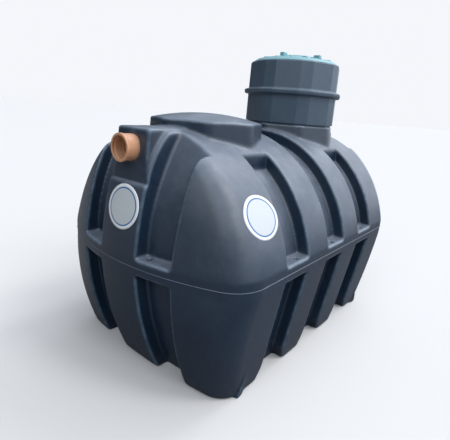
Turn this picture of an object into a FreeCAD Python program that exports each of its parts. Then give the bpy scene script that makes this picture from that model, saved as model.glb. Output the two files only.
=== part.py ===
import FreeCAD, Part
import Sketcher
import math
import os
import re
from FreeCAD import Placement, Rotation, Vector

# Horizontal moulded septic tank with an access riser on one of its two
# turrets. X runs along the tank from the inlet end at -X to the outlet end at
# +X, Y across it, Z up. The origin is the middle of the base, on the ground.
# All sizes are in millimetres, and all angles in degrees.

doc = FreeCAD.newDocument("septic_tank")
sheet = doc.addObject("Spreadsheet::Sheet", "Size")

SIZES = {
    # Hull, as half sizes from the middle of the tank
    "belt_half_length": 1050,
    "belt_half_width": 684,
    "base_end_taper": 165,
    "base_side_taper": 94,
    "crown_end_taper": 244,
    # Heights of the hull above the ground
    "belt_bottom": 600,
    "parting_height": 641,
    "belt_top": 685,
    "vault_centre": 520,
    "crown_height": 1284,
    "crown_angle": 84,
    # Corners and ends seen from above
    "belt_corner_radius": 190,
    "base_corner_radius": 130,
    "belt_end_radius": 1400,
    "base_end_radius": 3600,
    "crown_end_radius": 800,
    "base_edge": 30,
    "wall": 10,
    # Channels pressed into the long sides and the ends
    "channel_depth": 73,
    "side_channel_width": 213,
    "side_channel_pitch": 447,
    "side_channel_ledge": 40,
    "end_channel_inner": 141,
    "end_channel_outer": 341,
    "end_channel_run": 315,
    "flare_width": 40,
    "flare_height": 90,
    # Turrets on the crown
    "turret_radius": 312,
    "turret_edge_radius": 60,
    "turret_height": 46,
    "turret_root": 150,
    "dome_height": 35,
    "dome_top_radius": 110,
    "neck_bore_radius": 270,
    # Flat-faced boxes that carry the pipe sockets
    "box_bottom": 1000,
    "box_face_low_back": 73,
    "box_face_high_back": 96,
    "box_half_low": 129,
    "box_half_high": 116,
    # Pipe sockets
    "inlet_height": 1189,
    "outlet_drop": 50,
    "socket_mouth_back": 20,
    "socket_length": 110,
    "socket_radius": 63.5,
    "socket_bore": 55.2,
    "socket_stop": 52,
    "socket_seat": 60,
    "socket_lip": 3,
    "socket_lip_length": 12,
    "socket_clearance": 0.3,
    # Riser on the access neck
    "riser_radius": 305,
    "riser_edge_radius": 50,
    "riser_wall": 10,
    "riser_height": 390,
    "riser_gap": 6,
    "riser_foot_inset": 8,
    "flange_radius": 346,
    "flange_height": 30,
    "flange_rise": 194,
    "rim_width": 26,
    "rim_edge": 8,
    # Lid in the riser
    "lid_clearance": 3,
    "lid_edge": 14,
    "lid_dome": 26,
    "lid_dome_radius": 120,
    "hub_radius": 62,
    "hub_height": 12,
    "lug_length": 44,
    "lug_width": 26,
    "lug_height": 16,
    # Anchor feet at the base corners
    "foot_reach": 48,
    "foot_width": 112,
    "foot_top_width": 20,
    "foot_top_reach": 3,
    "foot_height": 125,
    "foot_back": 177,
}
for row, (alias, number) in enumerate(SIZES.items(), start=1):
    sheet.set("A%d" % row, alias)
    sheet.set("B%d" % row, str(number))
    sheet.setAlias("B%d" % row, alias)
doc.recompute()


def value(alias):
    """The number that the sheet holds under this name."""
    return float(getattr(sheet, alias))


def sized(text):
    """Write Size.name for every size named in an expression."""
    return re.sub("[a-z_]+", lambda word: "Size." * (word[0] in SIZES) + word[0], text)


def evaluate(text):
    """The number that an expression on the sheet has now."""
    return float(sheet.evalExpression(sized(text)))


def bind(item, **sizes):
    """Tie properties of a document object to expressions on the sheet."""
    for name, expression in sizes.items():
        item.setExpression(name, sized(expression))


def place(item, x="0", y="0", z="0"):
    """Tie where a document object stands to expressions on the sheet."""
    for axis, expression in (("x", x), ("y", y), ("z", z)):
        item.setExpression("Placement.Base." + axis, sized(expression))
    return item


def block(name, x_range, y_range, z_range):
    """A box between two expressions along each axis."""
    item = doc.addObject("Part::Box", name)
    spans = ["(%s) - (%s)" % (high, low) for low, high in (x_range, y_range, z_range)]
    bind(item, Length=spans[0], Width=spans[1], Height=spans[2])
    return place(item, x_range[0], y_range[0], z_range[0])


def cylinder(name, radius, height, x, z):
    """An upright cylinder on the long axis of the tank."""
    item = doc.addObject("Part::Cylinder", name)
    bind(item, Radius=radius, Height=height)
    return place(item, x, "0", z)


def cut(name, base, tool):
    item = doc.addObject("Part::Cut", name)
    item.Base = base
    item.Tool = tool
    return item


def common(name, base, tool):
    item = doc.addObject("Part::Common", name)
    item.Base = base
    item.Tool = tool
    return item


def fuse(name, shapes):
    item = doc.addObject("Part::MultiFuse", name)
    item.Shapes = shapes
    return item


def mirror(name, source, axis):
    """The same shape on the other side of the middle, along one axis."""
    item = doc.addObject("Part::Mirroring", name)
    item.Source = source
    item.Normal = axis
    return item


def feature(name, shape):
    item = doc.addObject("Part::Feature", name)
    item.Shape = shape
    return item


ALONG = Vector(1, 0, 0)
ACROSS = Vector(0, 1, 0)
FAR = "2 * belt_half_length"
WHOLE = ("-1 * " + FAR, FAR)
HALF_CHANNEL = "side_channel_width / 2"
CHANNEL_NEAR = "side_channel_pitch - side_channel_width / 2"
CHANNEL_FAR = "side_channel_pitch + side_channel_width / 2"
WALL = value("wall")
DEPTH = value("channel_depth")


# Places that follow from the belt, which is the widest part of the hull

BASE_HALF_LENGTH = value("belt_half_length") - value("base_end_taper")
BASE_HALF_WIDTH = value("belt_half_width") - value("base_side_taper")
CROWN_HALF_LENGTH = value("belt_half_length") - value("crown_end_taper")
BOX_FACE_HIGH = "belt_half_length - box_face_high_back"
SIDE_CHANNEL_TOP = "turret_radius + side_channel_ledge"
END_CHANNEL_TOP = "belt_half_length - end_channel_run"


# Hull: the inlet half is made from narrow flat facets and mirrored later

FACET_TURNS = [0, 8, 16, 28, 44, 60, 76, 90]
TAPER_STEPS = 3
VAULT_STEPS = 7
HALF_END = evaluate(HALF_CHANNEL + " + 3 * wall")
# What a 45 degree edge loses, for each millimetre that it is pulled in
EDGE_LOSS = 2 - math.sqrt(2)


def support(turn, half_length, half_width, end_radius, corner_radius):
    """Distance from the middle to the tangent line whose normal has this turn.

    The plan is a rounded rectangle with bulged ends: an end arc that runs
    into a smaller corner arc, and a straight side.
    """
    end_centre = half_length - end_radius
    corner_y = half_width - corner_radius
    join = math.asin(corner_y / (end_radius - corner_radius))
    if turn < join:
        return end_centre * math.cos(turn) + end_radius
    corner_x = end_centre + (end_radius - corner_radius) * math.cos(join)
    return corner_x * math.cos(turn) + corner_y * math.sin(turn) + corner_radius


def plan_outline(height, half_length, half_width, end_radius, corner_radius):
    """Corners of the inlet half of the hull at one height."""
    facings = [180 - turn for turn in reversed(FACET_TURNS)]
    facings += [180 + turn for turn in FACET_TURNS[1:]]
    lines = []
    for facing in facings:
        turn = math.radians(abs(facing - 180))
        reach = support(turn, half_length, half_width, end_radius, corner_radius)
        lines.append((math.radians(facing), reach))
    corners = [Vector(HALF_END, half_width, height)]
    for (turn_a, far_a), (turn_b, far_b) in zip(lines, lines[1:]):
        spread = math.sin(turn_b - turn_a)
        x = (far_a * math.sin(turn_b) - far_b * math.sin(turn_a)) / spread
        y = (far_b * math.cos(turn_a) - far_a * math.cos(turn_b)) / spread
        corners.append(Vector(x, y, height))
    corners.append(Vector(HALF_END, -half_width, height))
    return corners


def flat_face(corners):
    return Part.Face(Part.makePolygon(corners + corners[:1]))


def faceted(outlines):
    """Solid through level outlines whose matching sides are parallel."""
    faces = [flat_face(outlines[0]), flat_face(outlines[-1])]
    for low, high in zip(outlines, outlines[1:]):
        for number in range(len(low)):
            after = (number + 1) % len(low)
            faces.append(flat_face([low[number], low[after], high[after], high[number]]))
    return Part.makeSolid(Part.makeShell(faces))


def lower_form(inset, floor):
    """Tapered trough below the parting line, pulled in by an inset."""
    edge = value("base_edge") - EDGE_LOSS * min(inset, WALL)
    belt = value("belt_bottom")
    taper = [step / (TAPER_STEPS + 1) for step in range(TAPER_STEPS + 2)]
    heights = [floor] + [floor + edge + (belt - floor - edge) * share for share in taper]
    outlines = []
    for height in heights + [value("parting_height")]:
        sunk = max(0.0, (belt - height) / belt)
        drop = 0.25 * sunk + 0.75 * sunk ** 2
        length = value("belt_half_length")
        length -= value("base_end_taper") * drop
        width = value("belt_half_width")
        width -= value("base_side_taper") * sunk
        end_bend = (1 - sunk) / value("belt_end_radius") + sunk / value("base_end_radius")
        corner = value("belt_corner_radius")
        corner -= (corner - value("base_corner_radius")) * sunk
        pull = inset + (edge if height == floor else 0)
        outlines.append(plan_outline(height, length - pull, width - pull,
                                     1 / end_bend - pull, corner - pull))
    return faceted(outlines)


def upper_form(inset):
    """Vaulted half above the parting line, pulled in by an inset."""
    top_turn = math.radians(value("crown_angle"))
    rise = (value("crown_height") - value("vault_centre")) / math.sin(top_turn)
    first = math.asin((value("belt_top") - value("vault_centre")) / rise)
    side_axis = value("belt_half_width") / math.cos(first) - inset
    end_axis = value("crown_end_taper") / math.cos(first) - inset
    outlines = [plan_outline(value("parting_height"), value("belt_half_length") - inset,
                             value("belt_half_width") - inset,
                             value("belt_end_radius") - inset,
                             value("belt_corner_radius") - inset)]
    for step in range(VAULT_STEPS + 1):
        turn = first + (top_turn - first) * step / VAULT_STEPS
        share = (math.sin(turn) - math.sin(first)) / (math.sin(top_turn) - math.sin(first))
        end_radius = value("belt_end_radius")
        end_radius += (value("crown_end_radius") - end_radius) * share
        corner = (value("belt_corner_radius") - inset) * math.cos(turn) / math.cos(first)
        height = value("vault_centre") + (rise - inset) * math.sin(turn)
        half_length = CROWN_HALF_LENGTH + end_axis * math.cos(turn)
        outlines.append(plan_outline(height, half_length, side_axis * math.cos(turn),
                                     end_radius - inset, corner))
    return faceted(outlines)


# Channels: straight slabs that are cut down to a floor that follows the hull

def flare(name, middle, spread):
    """Widening of a lower side channel towards the ground."""
    item = doc.addObject("Part::Wedge", name)
    top_half = HALF_CHANNEL + " + " + spread
    foot_half = top_half + " + flare_width"
    for near, far, half in (("Xmin", "Xmax", foot_half), ("X2min", "X2max", top_half),
                            ("Zmin", "Zmax", FAR), ("Z2min", "Z2max", FAR)):
        bind(item, **{near: "-1 * (%s)" % half, far: half})
    bind(item, Ymin="0 * wall", Ymax="flare_height + " + spread)
    item.Placement.Rotation = Rotation(ALONG, 90)
    return place(item, middle)


def side_slabs(half, middle, spread, heights, stops):
    """Slabs of one side channel, on both sides of the tank or right across."""
    reach = HALF_CHANNEL + " + " + spread
    along = ("%s - (%s)" % (middle, reach), "%s + %s" % (middle, reach))
    name = "%s_slab_%s" % (half, "outer" if stops else "middle")
    if not stops:
        return [block(name, along, WHOLE, heights)]
    stop = "%s - %s" % (SIDE_CHANNEL_TOP, spread)
    sides = ((WHOLE[0], "-1 * (%s)" % stop), (stop, WHOLE[1]))
    return [block(name, along, across, heights) for across in sides]


def channels(half, spread):
    """All the slabs of the inlet half, widened by a spread."""
    upper = half == "upper"
    heights = ("belt_top - " + spread, "2 * crown_height")
    if not upper:
        heights = ("-2 * wall", "belt_bottom + " + spread)
    slabs = side_slabs(half, "0 * wall", spread, heights, False)
    slabs += side_slabs(half, "-1 * side_channel_pitch", spread, heights, upper)
    if not upper:
        slabs.append(flare("flare_middle", "0 * wall", spread))
        slabs.append(flare("flare_outer", "-1 * side_channel_pitch", spread))
    inner = "end_channel_inner - " + spread
    outer = "end_channel_outer + " + spread
    stop = "-1 * (%s)" % CHANNEL_FAR
    if upper:
        stop = "-1 * (%s) + %s" % (END_CHANNEL_TOP, spread)
    for across in (("-1 * (%s)" % outer, "-1 * (%s)" % inner), (inner, outer)):
        slabs.append(block(half + "_end_slab", (WHOLE[0], stop), across, heights))
    return fuse(half + "_slabs", slabs)


def channelled(half, form, floor, spread):
    """A half form with its channels cut down to the channel floor form."""
    outside = feature(half + "_form", form)
    bottom = feature(half + "_channel_floor", floor)
    recess = cut(half + "_recess", channels(half, spread), bottom)
    return cut(half + "_body", outside, recess)


lower_outside = channelled("lower", lower_form(0, 0), lower_form(DEPTH, -2 * WALL), "0")
lower_hollow = channelled("lower", lower_form(WALL, WALL),
                          lower_form(DEPTH + WALL, WALL), "wall")
upper_outside = channelled("upper", upper_form(0), upper_form(DEPTH), "0")
upper_hollow = channelled("upper", upper_form(WALL), upper_form(DEPTH + WALL), "wall")


# Turret and pipe box on the inlet end of the upper half

# A regular octagon's flats are nearer to its middle by this factor
FLAT = "cos(22.5)"


def octagon(name, radius, edge_radius, low, high, x="0"):
    """Eight-sided prism with rounded edges, a corner on the X axis."""
    prism = doc.addObject("Part::Prism", name + "_prism")
    prism.Polygon = 8
    bind(prism, Circumradius=radius, Height="(%s) - (%s)" % (high, low))
    place(prism, x, "0", low)
    doc.recompute()
    upright = []
    for number, edge in enumerate(prism.Shape.Edges, start=1):
        ends = [vertex.Z for vertex in edge.Vertexes]
        if max(ends) > min(ends):
            upright.append((number, value(edge_radius), value(edge_radius)))
    rounded = doc.addObject("Part::Fillet", name)
    rounded.Base = prism
    rounded.Edges = upright
    return rounded


def octagon_outline(radius, x, height):
    """Corners of a level octagon, one of them on the X axis."""
    turns = [math.pi / 4 * number for number in range(8)]
    return [Vector(x + radius * math.cos(turn), radius * math.sin(turn), height)
            for turn in turns]


def dome(name, x, low):
    """Shallow eight-sided frustum that roofs the blank turret."""
    foot = octagon_outline(value("turret_radius") - WALL, x, low)
    top = octagon_outline(value("dome_top_radius"), x, low + value("dome_height"))
    return feature(name, faceted([foot, top]))


TURRET_X = "-1 * side_channel_pitch"
TURRET_TOP = "crown_height + turret_height"
TURRET_FOOT = "crown_height - turret_root - turret_height"
turret_form = octagon("turret_form", "turret_radius", "turret_edge_radius",
                      TURRET_FOOT, TURRET_TOP, TURRET_X)
turret_hollow = octagon("turret_hollow", "turret_radius - wall / " + FLAT,
                        "turret_edge_radius", TURRET_FOOT + " - wall",
                        TURRET_TOP + " - wall", TURRET_X)


def rectangle(x_near, x_far, y_near, y_far, height):
    """Corners of a level rectangle."""
    return [Vector(x_near, y_near, height), Vector(x_far, y_near, height),
            Vector(x_far, y_far, height), Vector(x_near, y_far, height)]


def pipe_box(name, inset):
    """Block with a leaning flat face, pulled in by an inset."""
    near = evaluate(TURRET_X)
    low_half = value("box_half_low") - inset
    high_half = value("box_half_high") - inset
    low_face = inset - value("belt_half_length") + value("box_face_low_back")
    high_face = inset - value("belt_half_length") + value("box_face_high_back")
    low = rectangle(near, low_face, -low_half, low_half, value("box_bottom") - inset)
    high = rectangle(near, high_face, -high_half, high_half, value("crown_height") - inset)
    return feature(name, faceted([low, high]))


box_form = pipe_box("box_form", 0)
box_hollow = pipe_box("box_hollow", WALL)
upper_solid = fuse("upper_solid", [upper_outside, turret_form, box_form])
upper_space = fuse("upper_space", [upper_hollow, turret_hollow, box_hollow])
upper_wall = cut("upper_wall", upper_solid, upper_space)
lower_wall = cut("lower_wall", lower_outside, lower_hollow)
vault_wall = cut("vault_wall", upper_wall, fuse("top_zone", [turret_form, box_form]))
doc.recompute()


# Sub-parts that are written out, by their labels

pieces = {}


def piece(item, label):
    item.Label = label
    pieces[label] = item
    return item


turret_wall = common("turret_wall", upper_wall, turret_form)
boss_dome = dome("boss_dome", evaluate(TURRET_X), evaluate(TURRET_TOP))
dome_hollow = dome("dome_hollow", evaluate(TURRET_X), evaluate(TURRET_TOP) - WALL)
boss = cut("boss_node", fuse("boss_roofed", [turret_wall, boss_dome]), dome_hollow)
piece(boss, "inspection_boss")

neck_bore = cylinder("neck_bore", "neck_bore_radius", "4 * wall", "side_channel_pitch",
                     TURRET_TOP + " - 2 * wall")
neck_wall = mirror("neck_wall", turret_wall, ALONG)
piece(cut("neck_node", neck_wall, neck_bore), "access_neck")


def socket_hole(name, side, drop):
    """Clearance hole through the face of a pipe box."""
    hole = doc.addObject("Part::Cylinder", name)
    bind(hole, Radius="socket_radius + socket_clearance", Height="socket_length")
    hole.Placement.Rotation = Rotation(ACROSS, 90 * side)
    return place(hole, "%d * (%s - 3 * wall)" % (side, BOX_FACE_HIGH), "0",
                 "inlet_height - " + drop)


inlet_hole = socket_hole("inlet_hole", -1, "0")
outlet_hole = socket_hole("outlet_hole", 1, "outlet_drop")
box_wall = cut("box_wall", common("box_part", upper_wall, box_form), turret_form)
piece(cut("inlet_box_node", box_wall, inlet_hole), "inlet_box")
outlet_wall = mirror("outlet_wall", box_wall, ALONG)
piece(cut("outlet_box_node", outlet_wall, outlet_hole), "outlet_box")

STRIPS = {
    "channel_1": ("-1 * (%s)" % CHANNEL_FAR, "-1 * (%s)" % CHANNEL_NEAR),
    "bay_1": ("-1 * (%s)" % CHANNEL_NEAR, "-1 * " + HALF_CHANNEL),
    "channel_2": ("-1 * " + HALF_CHANNEL, HALF_CHANNEL),
}
OPPOSITE = {"channel_1": "channel_3", "bay_1": "bay_2"}
INLET_END = (WHOLE[0], "-1 * (%s)" % CHANNEL_FAR)
PANEL = ("-1 * end_channel_inner", "end_channel_inner")
RIGHT_CORNER = (WHOLE[0], "-1 * end_channel_inner")


def part_of(label, wall, along, across):
    """The share of a wall between two limits along and across the tank."""
    zone = block(label + "_zone", along, across, WHOLE)
    return piece(common(label + "_node", wall, zone), label)


def divide(half, wall):
    """Split one half of the tank wall at its channel edges."""
    for name, along in STRIPS.items():
        strip = part_of("%s_%s" % (half, name), wall, along, WHOLE)
        if name in OPPOSITE:
            label = "%s_%s" % (half, OPPOSITE[name])
            piece(mirror(label + "_node", strip, ALONG), label)
    panel = part_of(half + "_inlet_panel", wall, INLET_END, PANEL)
    opposite = mirror(half + "_outlet_panel_whole", panel, ALONG)
    piece(cut(half + "_outlet_panel_node", opposite, outlet_hole), half + "_outlet_panel")
    right = part_of(half + "_inlet_corner_right", wall, INLET_END, RIGHT_CORNER)
    left = piece(mirror(half + "_inlet_left_node", right, ACROSS), half + "_inlet_corner_left")
    for side, corner in (("left", left), ("right", right)):
        label = "%s_outlet_corner_%s" % (half, side)
        piece(mirror(label + "_node", corner, ALONG), label)


divide("lower", lower_wall)
divide("upper", vault_wall)


# Anchor feet, flush with the tapered wall

def foot_outline(half_width, reach, height):
    """Level rectangle of a foot beside the inlet corner on the right."""
    middle = value("foot_back") - BASE_HALF_LENGTH
    inner = BASE_HALF_WIDTH - 3 * WALL
    return rectangle(middle - half_width, middle + half_width, -inner, -reach, height)


def foot_form():
    """Gusset that widens towards the ground and runs out on the wall."""
    slope = value("base_side_taper") / value("belt_bottom")
    low_reach = BASE_HALF_WIDTH - value("base_edge") + value("foot_reach")
    high_reach = BASE_HALF_WIDTH + slope * value("foot_height")
    low = foot_outline(value("foot_width") / 2, low_reach, 0)
    high = foot_outline(value("foot_top_width") / 2, high_reach + value("foot_top_reach"),
                        value("foot_height"))
    return faceted([low, high])


foot_right = piece(cut("foot_node", feature("foot_form", foot_form()), lower_outside),
                   "foot_inlet_right")
foot_left = piece(mirror("foot_left_node", foot_right, ACROSS), "foot_inlet_left")
piece(mirror("foot_outlet_right_node", foot_right, ALONG), "foot_outlet_right")
piece(mirror("foot_outlet_left_node", foot_left, ALONG), "foot_outlet_left")


# Round pieces, turned about their own axis

def turned(label, points, placement):
    """Body of revolution about Z from expressions for radius and height."""
    body = doc.addObject("PartDesign::Body", label + "_body")
    sketch = body.newObject("Sketcher::SketchObject", label + "_profile")
    plane = [item for item in body.Origin.OriginFeatures if item.Role == "XZ_Plane"][0]
    sketch.AttachmentSupport = [(plane, "")]
    sketch.MapMode = "FlatFace"
    spots = [Vector(evaluate(radius), evaluate(height), 0) for radius, height in points]
    for start, stop in zip(spots, spots[1:] + spots[:1]):
        sketch.addGeometry(Part.LineSegment(start, stop))
    for number in range(len(spots)):
        after = (number + 1) % len(spots)
        sketch.addConstraint(Sketcher.Constraint("Coincident", number, 2, after, 1))
    for number, (radius, height) in enumerate(points):
        for kind, text, now in (("DistanceX", radius, spots[number].x),
                                ("DistanceY", height, spots[number].y)):
            spot = sketch.addConstraint(Sketcher.Constraint(kind, -1, 1, number, 1, now))
            sketch.setExpression("Constraints[%d]" % spot, sized(text))
    turn = body.newObject("PartDesign::Revolution", label + "_turn")
    turn.Profile = sketch
    turn.ReferenceAxis = (sketch, ["V_Axis"])
    turn.Angle = 360
    body.Placement = placement
    return piece(body, label)


def socket(label, side, drop):
    """Pipe socket with a bead at its mouth, facing outwards."""
    points = [("socket_bore", "0"), ("socket_radius + socket_lip", "0"),
              ("socket_radius + socket_lip", "-1 * socket_lip_length"),
              ("socket_radius", "-1 * socket_lip_length"),
              ("socket_radius", "-1 * socket_length"),
              ("socket_stop", "-1 * socket_length"), ("socket_stop", "-1 * socket_seat"),
              ("socket_bore", "-1 * socket_seat")]
    reach = value("belt_half_length") - value("socket_mouth_back")
    mouth = Vector(side * reach, 0, value("inlet_height") - drop)
    turned(label, points, Placement(mouth, Rotation(ACROSS, 90 * side)))


socket("inlet_socket", -1, 0)
socket("outlet_socket", 1, value("outlet_drop"))


# Riser: foot ring, shaft, flange, upper shaft with a rim, and lid

RISER_X = "side_channel_pitch"
RISER_LOW = TURRET_TOP
RISER_GAP_TOP = RISER_LOW + " + riser_gap"
FLANGE_LOW = RISER_LOW + " + flange_rise"
FLANGE_HIGH = FLANGE_LOW + " + flange_height"
RISER_HIGH = RISER_LOW + " + riser_height"
RISER_BORE = "riser_radius - riser_wall / %s - riser_foot_inset" % FLAT
RIM_RADIUS = "riser_radius * %s - rim_edge" % FLAT

shaft_low = octagon("shaft_low", "riser_radius", "riser_edge_radius",
                    RISER_GAP_TOP, FLANGE_LOW, RISER_X)
shaft_foot = octagon("shaft_foot", "riser_radius - riser_foot_inset", "riser_edge_radius",
                     RISER_LOW, RISER_GAP_TOP, RISER_X)
shaft_bore = octagon("shaft_bore", RISER_BORE, "riser_edge_radius",
                     RISER_LOW + " - wall", RISER_HIGH + " - rim_width", RISER_X)
shaft_body = fuse("shaft_body", [shaft_low, shaft_foot])
piece(cut("riser_lower_node", shaft_body, shaft_bore), "riser_lower")

ring = octagon("ring", "flange_radius", "riser_edge_radius", FLANGE_LOW, FLANGE_HIGH, RISER_X)
piece(cut("riser_flange_node", ring, shaft_bore), "riser_flange")

shaft_high = octagon("shaft_high", "riser_radius", "riser_edge_radius",
                     FLANGE_HIGH, RISER_HIGH, RISER_X)
lid_seat = cylinder("lid_seat", RIM_RADIUS, "2 * rim_width", RISER_X,
                    RISER_HIGH + " - lid_edge")
rim_bore = cylinder("rim_bore", RIM_RADIUS + " - rim_width", "4 * rim_width", RISER_X,
                    RISER_HIGH + " - 2 * rim_width")
rim_space = fuse("rim_space", [shaft_bore, lid_seat, rim_bore])
piece(cut("riser_upper_node", shaft_high, rim_space), "riser_upper")

LID_RADIUS = RIM_RADIUS + " - lid_clearance"
LID_TOP = "lid_edge + lid_dome"
LID_PLACE = Vector(evaluate(RISER_X), 0, evaluate(RISER_HIGH + " - lid_edge"))
turned("riser_lid",
       [("0", "0"), (LID_RADIUS, "0"), (LID_RADIUS, "lid_edge"),
        ("lid_dome_radius", LID_TOP), ("0", LID_TOP)],
       Placement(LID_PLACE, Rotation()))

HUB_PLACE = LID_PLACE + Vector(0, 0, evaluate(LID_TOP))
turned("lid_hub",
       [("0", "0"), ("hub_radius", "0"), ("hub_radius", "hub_height"), ("0", "hub_height")],
       Placement(HUB_PLACE, Rotation()))

lugs = []
for side in (-1, 1):
    middle = "side_channel_pitch + %d * (hub_radius + lug_length)" % side
    along = (middle + " - lug_length / 2", middle + " + lug_length / 2")
    rise = (RISER_HIGH + " + lid_dome", RISER_HIGH + " + lid_dome + lug_height")
    lugs.append(block("lug", along, ("-1 * lug_width / 2", "lug_width / 2"), rise))
lug_pair = doc.addObject("Part::Compound", "lug_pair")
lug_pair.Links = lugs
piece(lug_pair, "lid_lugs")

doc.recompute()


# Every object is sound before anything is written

for item in doc.Objects:
    for state in item.State:
        if state in ("Invalid", "Error"):
            raise RuntimeError("%s is %s" % (item.Label, state))
os.makedirs("parts", exist_ok=True)
for label, item in pieces.items():
    shape = item.Shape
    if shape.isNull() or not shape.isValid() or not shape.Solids:
        raise RuntimeError("%s has no sound shape" % label)
    shape.exportStep("parts/%s.step" % label)
    print("%-28s solids %d, volume %.4f m3" % (label, len(shape.Solids), shape.Volume / 1e9))
print("total volume %.4f m3" % (sum(item.Shape.Volume for item in pieces.values()) / 1e9))
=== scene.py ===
# %% [markdown]
# # A moulded septic tank
#
# The real tank is one hollow plastic moulding: a tapered trough below, a
# vaulted half above, pressed channels that stiffen both, two turrets on the
# crown and a flat-faced box for the pipe at each end. A bolted-on riser with
# a lid stands on one turret.
#
# The CAD model comes in first, as the fixed frame. Everything that is made
# here stands in that frame, in metres.

# %% Load the frame
import math

import bmesh
import bpy
import numpy as np
from mathutils import Matrix, Vector


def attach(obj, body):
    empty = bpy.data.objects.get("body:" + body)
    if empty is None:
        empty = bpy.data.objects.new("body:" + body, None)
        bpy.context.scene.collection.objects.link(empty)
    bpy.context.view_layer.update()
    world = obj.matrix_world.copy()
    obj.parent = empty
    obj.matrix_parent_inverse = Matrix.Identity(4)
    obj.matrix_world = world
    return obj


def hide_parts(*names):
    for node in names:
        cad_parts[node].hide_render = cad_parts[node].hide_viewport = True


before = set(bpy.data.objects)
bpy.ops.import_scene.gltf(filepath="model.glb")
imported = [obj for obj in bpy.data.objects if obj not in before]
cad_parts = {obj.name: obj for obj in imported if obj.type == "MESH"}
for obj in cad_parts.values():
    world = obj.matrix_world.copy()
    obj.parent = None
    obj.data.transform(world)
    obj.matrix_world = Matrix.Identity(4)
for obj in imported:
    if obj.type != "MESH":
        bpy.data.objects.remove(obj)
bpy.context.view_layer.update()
scene = bpy.context.scene

# %% [markdown]
# ## Camera
#
# The photograph looks down on one corner of the tank. Its place and turn were
# worked out from edges of the tank whose sizes are known, so they are given
# here as three angles and a point. A matrix with the camera's own right, up
# and backward directions in its columns turns it exactly.

# %% Camera
IMAGE_WIDTH = 450
FOCAL_PIXELS = 376.55
SENSOR_WIDTH = 36.0


def facing(yaw, pitch, roll):
    """Turn of a camera that looks along yaw, down by pitch, rolled by roll."""
    ahead = Vector((math.cos(yaw) * math.cos(pitch), math.sin(yaw) * math.cos(pitch),
                    -math.sin(pitch)))
    level = Vector((math.sin(yaw), -math.cos(yaw), 0))
    lift = level.cross(ahead)
    right = math.cos(roll) * level + math.sin(roll) * lift
    up = math.cos(roll) * lift - math.sin(roll) * level
    return Matrix((right, up, -ahead)).transposed().to_4x4()


camera_data = bpy.data.cameras.new("camera")
camera_data.sensor_width = SENSOR_WIDTH
camera_data.lens = FOCAL_PIXELS / IMAGE_WIDTH * SENSOR_WIDTH
camera = bpy.data.objects.new("camera", camera_data)
scene.collection.objects.link(camera)
turn = facing(math.radians(38.778), math.radians(16.046), math.radians(4.410))
camera.matrix_world = Matrix.Translation((-2.0641, -1.4849, 1.3829)) @ turn
scene.camera = camera
print("lens", round(camera_data.lens, 2), "mm")

# %% [markdown]
# ## Writing materials as arithmetic
#
# A material is a graph of nodes, which is long to write one link at a time.
# Two small classes shorten it. `Term` wraps the output of a node, and the
# signs + - * beside a term add Math nodes. `Finish` holds one material, and
# its `add` method makes any node and fills its sockets with numbers or terms.

# %% Material helpers
class Term:
    """The output of a node, ready for arithmetic."""

    def __init__(self, finish, socket):
        self.finish = finish
        self.socket = socket

    def join(self, operation, first, second):
        return self.finish.add("ShaderNodeMath", {"operation": operation}, first, second)

    def __add__(self, other):
        return self.join("ADD", self, other)

    def __radd__(self, other):
        return self.join("ADD", other, self)

    def __rsub__(self, other):
        return self.join("SUBTRACT", other, self)

    def __mul__(self, other):
        return self.join("MULTIPLY", self, other)

    def between(self, low, high):
        """0 up to low and 1 from high, with a smooth step."""
        settings = {"interpolation_type": "SMOOTHSTEP"}
        return self.finish.add("ShaderNodeMapRange", settings, self, low, high)


class Finish:
    """One material with a Principled shader and the nodes that feed it."""

    def __init__(self, name):
        self.material = bpy.data.materials.new(name)
        self.material.use_nodes = True
        self.tree = self.material.node_tree
        self.shader = self.tree.nodes["Principled BSDF"]
        self.place = self.add("ShaderNodeTexCoord", {}, output="Object")

    def fill(self, socket, content):
        if isinstance(content, Term):
            self.tree.links.new(content.socket, socket)
        else:
            socket.default_value = content

    def add(self, kind, settings, *contents, output=0, **named):
        """A node of any kind: settings first, then its sockets in order."""
        node = self.tree.nodes.new(kind)
        for name, setting in settings.items():
            setattr(node, name, setting)
        for name, content in [*enumerate(contents), *named.items()]:
            self.fill(node.inputs[name], content)
        return Term(self, node.outputs[output])

    def noise(self, scale, detail, roughness=0.55, stretch=(1, 1, 1)):
        """Soft random pattern between 0 and 1, stretched along the axes."""
        place = self.place
        if stretch != (1, 1, 1):
            place = self.add("ShaderNodeMapping", {}, place, Scale=stretch)
        return self.add("ShaderNodeTexNoise", {}, place, Scale=scale, Detail=detail,
                        Roughness=roughness)

    def mix(self, share, first, second):
        """Colour between first and second."""
        node = self.tree.nodes.new("ShaderNodeMix")
        node.data_type = "RGBA"
        for name, content in ((0, share), (6, first), (7, second)):
            self.fill(node.inputs[name], content)
        return Term(self, node.outputs[2])

    def part(self, vector, axis):
        """One of the three numbers of a vector."""
        return self.add("ShaderNodeSeparateXYZ", {}, vector, output=axis)

    def surface(self, **sockets):
        for name, content in sockets.items():
            self.fill(self.shader.inputs[name.replace("_", " ")], content)
        return self.material


print("helpers ready")

# %% [markdown]
# ## Moulded plastic
#
# The tank is polyethylene that was melted onto the inside of a hot mould. It
# is satin, not shiny: its skin has a fine peel and long soft waves, and its
# dark pigment is never quite even. Handling leaves pale scuffs. Convex edges
# are painted paler, partly as rubbing and partly as a painted highlight.
# Whatever faces up is painted pale sky blue, partly as weathering and a dusty
# film and partly as a painted sheen of the bright sky. Splashed soil dries
# near the ground. Each of these is one noise pattern or one direction, and the
# same recipe with other numbers serves the riser, the lid and the pipe sockets.

# %% Moulded plastic
# The pale sky blue for up-facing surfaces is partly a dusty film, partly a painted sky sheen.
DUST_AND_SHEEN, SOIL = (0.42, 0.48, 0.58, 1), (0.16, 0.13, 0.10, 1)


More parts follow.
